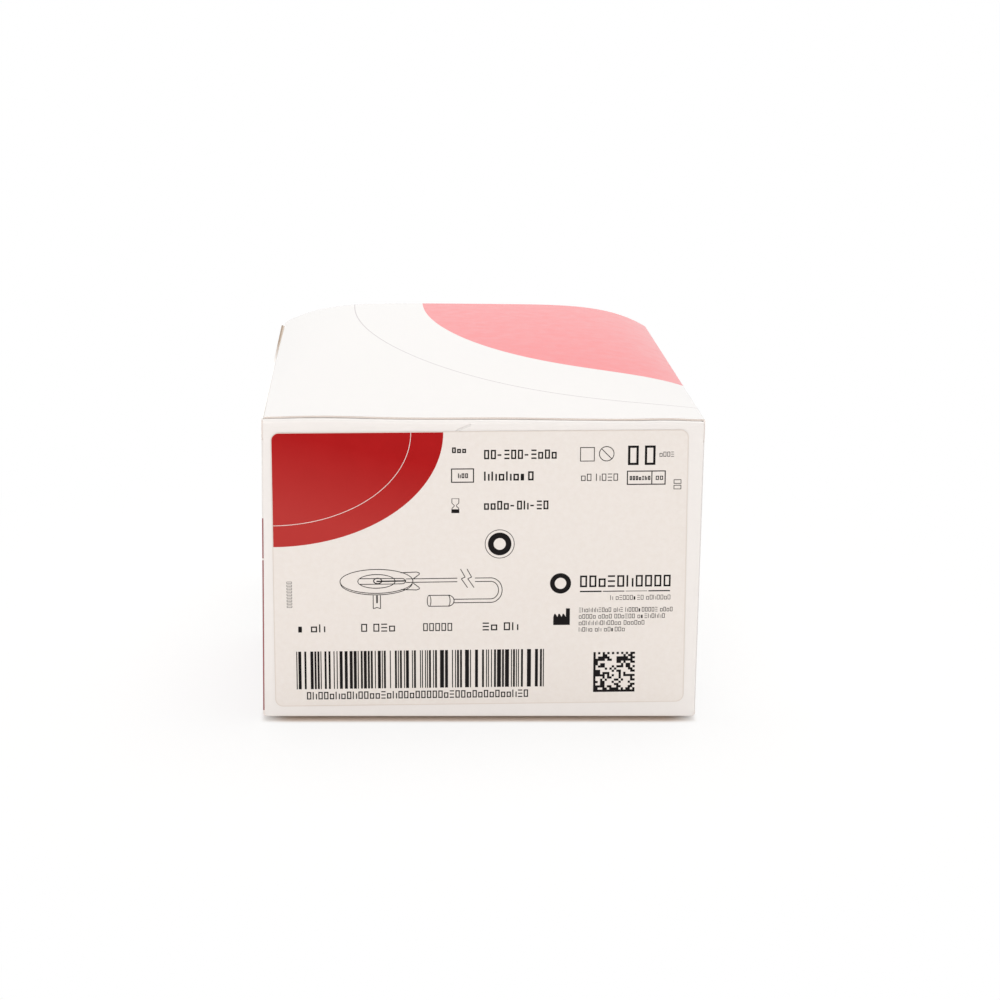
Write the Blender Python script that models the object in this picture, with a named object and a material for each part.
"""Folding carton for ward disposables, with a pressure-sensitive label on its front end.

The carton is one die-cut blank of coated board. Four wall panels are folded into a sleeve and glued along
the top left edge, where the glue flap lies inside the left wall. Each end is shut by a closure that is
hinged on the bottom panel and tucked in under the top panel, over two dust flaps. The top panel has bowed
up over what the carton was packed with, the bottom panel sags between its folds to a flat middle, and the
glued edge has started to lift towards the back.

Metres, +Z up. The front end faces -Y. The origin is the middle of the bottom panel's outer face. Each mesh
is drawn with its heights counted from the bottom folds, and its object is then raised by the sag.
"""

import math

import bmesh
import bpy
from mathutils import Vector

# Sleeve, outside sizes at its folded corners
CARTON_WIDTH = 0.1087
CARTON_DEPTH = 0.140
CARTON_HEIGHT = 0.076

# Board
BOARD = 0.00045
FOLD_INSIDE_RADIUS = 0.00025
LAYER_GAP = 0.0003

# Bow of the top panel, and how steeply it leaves the side folds
TOP_BOW = 0.0066
TOP_BOW_POWER = 5.0

# Sag of the bottom panel below its folds, and how far in from them it reaches its flat middle
BOTTOM_SAG = 0.0011
BOTTOM_SAG_REACH = 0.018

# Glued edge at the top left
GLUE_FLAP_WIDTH = 0.015
GLUE_FLAP_END_CUT = 0.007
GLUE_FLAP_END_LENGTH = 0.012
SEAM_EDGE_DROP = 0.0004
SEAM_LIFT = 0.00055
SEAM_LIFT_LENGTH = 0.062
SEAM_LIFT_RAMP = 0.055

# Dust flaps
DUST_FLAP_LENGTH = 0.040
DUST_FLAP_FOOT = 0.0010
DUST_FLAP_HEADROOM = 0.0050
DUST_FLAP_NOTCH = 0.0008
DUST_FLAP_SHOULDER = 0.0035
DUST_FLAP_TAPER = math.radians(4)
DUST_FLAP_CORNER = 0.006

# End closures
CLOSURE_SIDE_INSET = 0.0004
CLOSURE_TOP_FOLD_RADIUS = 0.0015
TUCK_LENGTH = 0.016
TUCK_CORNER = 0.009

# Label on the front closure
LABEL_SIDE_MARGIN = 0.00315
LABEL_TOP_MARGIN = 0.0031
LABEL_FOOT_MARGIN = 0.0030
LABEL_SHIFT = 0.0005
LABEL_TILT = math.radians(0.75)
LABEL_CORNER = 0.0020
LABEL_THICKNESS = 0.00012
LABEL_GLUE_LINE = 0.00005

# How finely curves are cut
FOLD_STEPS = 5
CORNER_STEPS = 6
TOP_STEPS = 20
DEPTH_STEPS = 10
SAG_STEPS = 4
PANEL_ROWS = 3

# Sizes worked out from those above
FOLD_RADIUS = FOLD_INSIDE_RADIUS + BOARD
HALF_WIDTH = CARTON_WIDTH / 2
HALF_DEPTH = CARTON_DEPTH / 2
SLEEVE_END = HALF_DEPTH - BOARD - LAYER_GAP
WALL_END = SLEEVE_END - FOLD_RADIUS
BOTTOM_END = HALF_DEPTH - FOLD_RADIUS - LAYER_GAP
SHOULDER_FOOT = CARTON_HEIGHT - DUST_FLAP_HEADROOM
DUST_ROOT_TOP = SHOULDER_FOOT - DUST_FLAP_NOTCH
DUST_ROOT_FOOT = FOLD_RADIUS + DUST_FLAP_FOOT
CLOSURE_CREST = CARTON_HEIGHT - BOARD - LAYER_GAP
CLOSURE_HALF_WIDTH = HALF_WIDTH - CLOSURE_SIDE_INSET
TUCK_HALF_WIDTH = HALF_WIDTH - 2 * BOARD - 2 * LAYER_GAP - SEAM_LIFT
BOTTOM_EDGE = HALF_WIDTH - FOLD_RADIUS


def clear_scene():
    """Removes every object that the file opened with."""
    for item in list(bpy.data.objects):
        bpy.data.objects.remove(item, do_unlink=True)


def material(name, color, roughness):
    """A Principled material for one sub-part."""
    made = bpy.data.materials.new(name)
    made.use_nodes = True
    shader = made.node_tree.nodes["Principled BSDF"]
    shader.inputs["Base Color"].default_value = (*color, 1.0)
    shader.inputs["Roughness"].default_value = roughness
    shader.inputs["Metallic"].default_value = 0.0
    made.diffuse_color = (*color, 1.0)
    return made


def mesh_object(name, mesh, finish, parent=None):
    """Turns a bmesh into a smooth-shaded object with its own material."""
    data = bpy.data.meshes.new(name)
    mesh.to_mesh(data)
    mesh.free()
    data.materials.append(finish)
    data.shade_smooth()
    data.set_sharp_from_angle(angle=math.radians(35))
    made = bpy.data.objects.new(name, data)
    made.parent = parent
    bpy.context.scene.collection.objects.link(made)
    return made


def thicken(sheet):
    """Gives a sheet, drawn as its printed outer face, the thickness of the board on its inner side."""
    board = sheet.modifiers.new("Board", "SOLIDIFY")
    board.thickness = BOARD
    board.offset = -1.0
    board.use_even_offset = True
    board.use_quality_normals = True


def arc(centre_a, centre_b, radius, start, end, steps):
    """Points on an arc in a plane, from one angle in degrees to another, both ends included."""
    angles = [math.radians(start + (end - start) * step / steps) for step in range(steps + 1)]
    return [(centre_a + radius * math.cos(turn), centre_b + radius * math.sin(turn)) for turn in angles]


def spread(start, end, steps):
    """Evenly spaced values from start to end, both included."""
    return [start + (end - start) * step / steps for step in range(steps + 1)]


def loft(mesh, rings):
    """Joins each row of vertices to the next with four-sided faces."""
    for near, far in zip(rings, rings[1:]):
        for near_a, far_a, far_b, near_b in zip(near, far, far[1:], near[1:]):
            mesh.faces.new((near_a, far_a, far_b, near_b))


def bow(x, y):
    """How far the top panel stands above its corners: nothing at the front edge, most at the back edge."""
    across = 1 - min(abs(x) / HALF_WIDTH, 1.0) ** TOP_BOW_POWER
    along = (y + SLEEVE_END) / (2 * SLEEVE_END)
    return TOP_BOW * across * along * (2 - along)


def sag(x, y):
    """How far the bottom panel hangs below its folds: nothing at them, then easing down to its flat middle."""
    across = min((BOTTOM_EDGE - abs(x)) / BOTTOM_SAG_REACH, 1.0)
    along = min((BOTTOM_END - abs(y)) / BOTTOM_SAG_REACH, 1.0)
    return BOTTOM_SAG * across * (2 - across) * along * (2 - along)


def seam_gap(y):
    """Gap between the left wall and the glue flap inside it, which opens towards the back."""
    lifted = (y - (HALF_DEPTH - SEAM_LIFT_LENGTH)) / SEAM_LIFT_RAMP
    return LAYER_GAP + SEAM_LIFT * min(max(lifted, 0.0), 1.0)


def glue_flap_width(y):
    """Width of the glue flap, which is cut back at a slant at both ends."""
    from_end = min((WALL_END - abs(y)) / GLUE_FLAP_END_LENGTH, 1.0)
    return GLUE_FLAP_WIDTH - GLUE_FLAP_END_CUT * (1 - from_end)


def root_levels():
    """Heights of the vertices along which a dust flap is hinged to its side wall, from the foot up."""
    return spread(DUST_ROOT_FOOT, DUST_ROOT_TOP, PANEL_ROWS)


def girth(y):
    """The outer line of the sleeve at one depth, in named stretches from the left wall to the glue flap."""
    fold = FOLD_RADIUS
    side_top = CARTON_HEIGHT - fold
    glue_face = -HALF_WIDTH + BOARD + seam_gap(y)
    top_right = arc(HALF_WIDTH - fold, side_top, fold, 0, 90, FOLD_STEPS)
    top_left = arc(glue_face + fold, side_top, fold, 90, 180, FOLD_STEPS)
    start, end = top_right[-1][0], top_left[0][0]
    middle, reach = (start + end) / 2, (start - end) / 2
    turns = spread(math.pi / 2, -math.pi / 2, TOP_STEPS)[1:-1]
    top = [(middle + reach * math.sin(turn), CARTON_HEIGHT) for turn in turns]
    flap_edge = side_top - glue_flap_width(y)
    sag_side = BOTTOM_EDGE - BOTTOM_SAG_REACH
    bottom = spread(-BOTTOM_EDGE, -sag_side, SAG_STEPS) + spread(sag_side, BOTTOM_EDGE, SAG_STEPS)
    return {
        "seam_edge": [(-HALF_WIDTH, CARTON_HEIGHT - SEAM_EDGE_DROP)],
        "left_shoulder": [(-HALF_WIDTH, SHOULDER_FOOT)],
        "left_root": [(-HALF_WIDTH, level) for level in reversed(root_levels())],
        "bottom_left": arc(-HALF_WIDTH + fold, fold, fold, 180, 270, FOLD_STEPS)[:-1],
        "bottom": [(x, -sag(x, y)) for x in bottom],
        "bottom_right": arc(HALF_WIDTH - fold, fold, fold, 270, 360, FOLD_STEPS)[1:],
        "right_root": [(HALF_WIDTH, level) for level in root_levels()],
        "right_shoulder": [(HALF_WIDTH, SHOULDER_FOOT)],
        "top_right": [(x, z + bow(x, y)) for x, z in top_right],
        "top": [(x, z + bow(x, y)) for x, z in top],
        "top_left": [(x, z + bow(x, y)) for x, z in top_left],
        "glue_flap": [(glue_face, (side_top + flap_edge) / 2), (glue_face, flap_edge)],
    }


def stretch(first, last):
    """Where the vertices from one named stretch of the girth to another lie in a ring."""
    counts = {name: len(points) for name, points in girth(0.0).items()}
    names = list(counts)
    start = sum(counts[name] for name in names[: names.index(first)])
    end = sum(counts[name] for name in names[: names.index(last) + 1])
    return slice(start, end)


def ring(mesh, y, part=slice(None)):
    """Vertices of the sleeve's outer line at one depth, or of a part of it."""
    points = [point for run in girth(y).values() for point in run]
    return [mesh.verts.new((x, y, z)) for x, z in points[part]]


def ring_depths():
    """Depths of the sleeve's rings, which are closer together at both ends, where the bottom panel sags."""
    flat_end = BOTTOM_END - BOTTOM_SAG_REACH
    easing = spread(flat_end, WALL_END, SAG_STEPS)[1:]
    return [-y for y in reversed(easing)] + spread(-flat_end, flat_end, DEPTH_STEPS) + easing


def dust_flap_columns(side, end):
    """Points of one dust flap from its root outwards: round the fold, then flat behind the closure."""
    centre_x = HALF_WIDTH - FOLD_RADIUS
    levels = spread(0.0, 1.0, PANEL_ROWS)
    columns = []
    for x, y in arc(centre_x, WALL_END, FOLD_RADIUS, 0, 90, FOLD_STEPS)[1:]:
        columns.append([(side * x, end * y, z) for z in root_levels()])
    flat = DUST_FLAP_LENGTH - FOLD_RADIUS
    straight = flat - DUST_FLAP_CORNER
    rounded = [straight + DUST_FLAP_CORNER * math.sin(turn) for turn in spread(0, math.pi / 2, CORNER_STEPS)]
    for reach in [DUST_FLAP_SHOULDER, *rounded]:
        round_off = max(reach - straight, 0.0)
        corner = DUST_FLAP_CORNER - math.sqrt(max(DUST_FLAP_CORNER**2 - round_off**2, 0.0))
        slope = math.tan(DUST_FLAP_TAPER)
        foot = DUST_ROOT_FOOT + slope * reach + corner
        head = DUST_ROOT_TOP - DUST_FLAP_SHOULDER - slope * (reach - DUST_FLAP_SHOULDER) - corner
        x = side * (centre_x - reach)
        columns.append([(x, end * SLEEVE_END, foot + (head - foot) * level) for level in levels])
    return columns


def add_dust_flap(mesh, wall, side, end):
    """Folds a dust flap in from the end of a side wall, whose vertices are given from its foot up."""
    rows = [wall]
    for column in dust_flap_columns(side, end):
        rows.append([mesh.verts.new(point) for point in column])
    loft(mesh, rows[:: side * end])


def carton_sleeve(finish):
    """The four walls, the glue flap and the four dust flaps, folded from one piece of board.

    The walls are lofted between the dust flaps' folds. The raw edges of the top panel, of the shoulders
    beside it and of the bottom panel then run on past those folds, and the dust flaps are folded in.
    """
    mesh = bmesh.new()
    rings = [ring(mesh, y) for y in ring_depths()]
    loft(mesh, rings)
    raw_edges = (
        (stretch("seam_edge", "left_shoulder"), SLEEVE_END),
        (stretch("bottom", "bottom"), BOTTOM_END),
        (stretch("right_shoulder", "top_left"), SLEEVE_END),
    )
    for end, wall in ((-1, rings[0]), (1, rings[-1])):
        for part, reach in raw_edges:
            rows = [wall[part], ring(mesh, end * reach, part)]
            loft(mesh, rows[::end])
        add_dust_flap(mesh, wall[stretch("left_root", "left_root")][::-1], -1, end)
        add_dust_flap(mesh, wall[stretch("right_root", "right_root")], 1, end)
    sleeve = mesh_object("carton_body", mesh, finish)
    sleeve.location.z = BOTTOM_SAG
    thicken(sleeve)
    return sleeve


def closure_profile():
    """The closure's outer line and half width, from its bottom fold up and over to the tuck flap's end.

    Distances run inwards from the hinge line. The closure keeps its full width over the top fold until just
    before the sleeve's raw edges, where it is cut in to the tuck flap. That flap slopes down, so that its end
    is no further from the hinge than the top fold is, and it swings out from under the top panel.
    """
    fold = CLOSURE_TOP_FOLD_RADIUS
    tip_height = math.sqrt(CLOSURE_CREST**2 - TUCK_LENGTH**2)
    droop = math.degrees(math.atan2(CLOSURE_CREST - tip_height, TUCK_LENGTH - fold))
    foot = arc(FOLD_RADIUS, FOLD_RADIUS, FOLD_RADIUS, 270, 180, FOLD_STEPS)
    line = [(inward, z, CLOSURE_HALF_WIDTH) for inward, z in foot]
    crest = arc(fold, CLOSURE_CREST - fold, fold, 180, 90 - droop, FOLD_STEPS + 2)
    raw_edge = HALF_DEPTH - SLEEVE_END
    for (inward, z), (further, _) in zip(crest, crest[1:] + crest[-1:]):
        line.append((inward, z, CLOSURE_HALF_WIDTH if further < raw_edge else TUCK_HALF_WIDTH))
    start = Vector(crest[-1])
    end = Vector((TUCK_LENGTH, tip_height))
    length = (end - start).length
    straight = length - TUCK_CORNER
    for turn in spread(0, math.pi / 2, CORNER_STEPS):
        point = start.lerp(end, (straight + TUCK_CORNER * math.sin(turn)) / length)
        line.append((point.x, point.y, TUCK_HALF_WIDTH - TUCK_CORNER * (1 - math.cos(turn))))
    return line


def end_closure(name, end, finish):
    """A closure panel and its tuck flap. The object's origin is on its hinge line at the bottom fold."""
    mesh = bmesh.new()
    rows = []
    for inward, z, half_width in closure_profile():
        across = spread(-half_width, half_width, 2)
        rows.append([mesh.verts.new((end * x, -end * inward, z)) for x in across])
    loft(mesh, rows)
    closure = mesh_object(name, mesh, finish)
    closure.location = (0.0, end * HALF_DEPTH, BOTTOM_SAG)
    thicken(closure)
    return closure


def end_label(closure, finish):
    """The label: a thin sheet with round corners, stuck on the front closure a little out of square."""
    half_width = HALF_WIDTH - LABEL_SIDE_MARGIN
    half_height = (CARTON_HEIGHT - LABEL_TOP_MARGIN - LABEL_FOOT_MARGIN) / 2
    mesh = bmesh.new()
    outline = []
    for quarter, (right, up) in enumerate(((1, 1), (-1, 1), (-1, -1), (1, -1))):
        centre = (right * (half_width - LABEL_CORNER), up * (half_height - LABEL_CORNER))
        outline += arc(*centre, LABEL_CORNER, 90 * quarter, 90 * quarter + 90, CORNER_STEPS)
    face = mesh.faces.new([mesh.verts.new((x, 0.0, z)) for x, z in outline])
    grown = bmesh.ops.extrude_face_region(mesh, geom=[face])["geom"]
    front = [item for item in grown if isinstance(item, bmesh.types.BMVert)]
    bmesh.ops.translate(mesh, verts=front, vec=(0.0, -LABEL_THICKNESS, 0.0))
    bmesh.ops.recalc_face_normals(mesh, faces=mesh.faces)
    label = mesh_object("end_label", mesh, finish, closure)
    label.location = (-LABEL_SHIFT, -LABEL_GLUE_LINE, LABEL_FOOT_MARGIN + half_height)
    label.rotation_euler = (0.0, -LABEL_TILT, 0.0)
    return label


def build():
    """Builds the carton."""
    clear_scene()
    carton_sleeve(material("coated white board", (0.87, 0.86, 0.84), 0.35))
    front = end_closure("front_closure", -1, material("front closure board", (0.87, 0.86, 0.84), 0.35))
    end_closure("back_closure", 1, material("back closure board", (0.87, 0.86, 0.84), 0.35))
    end_label(front, material("cream label paper", (0.83, 0.80, 0.74), 0.55))


build()
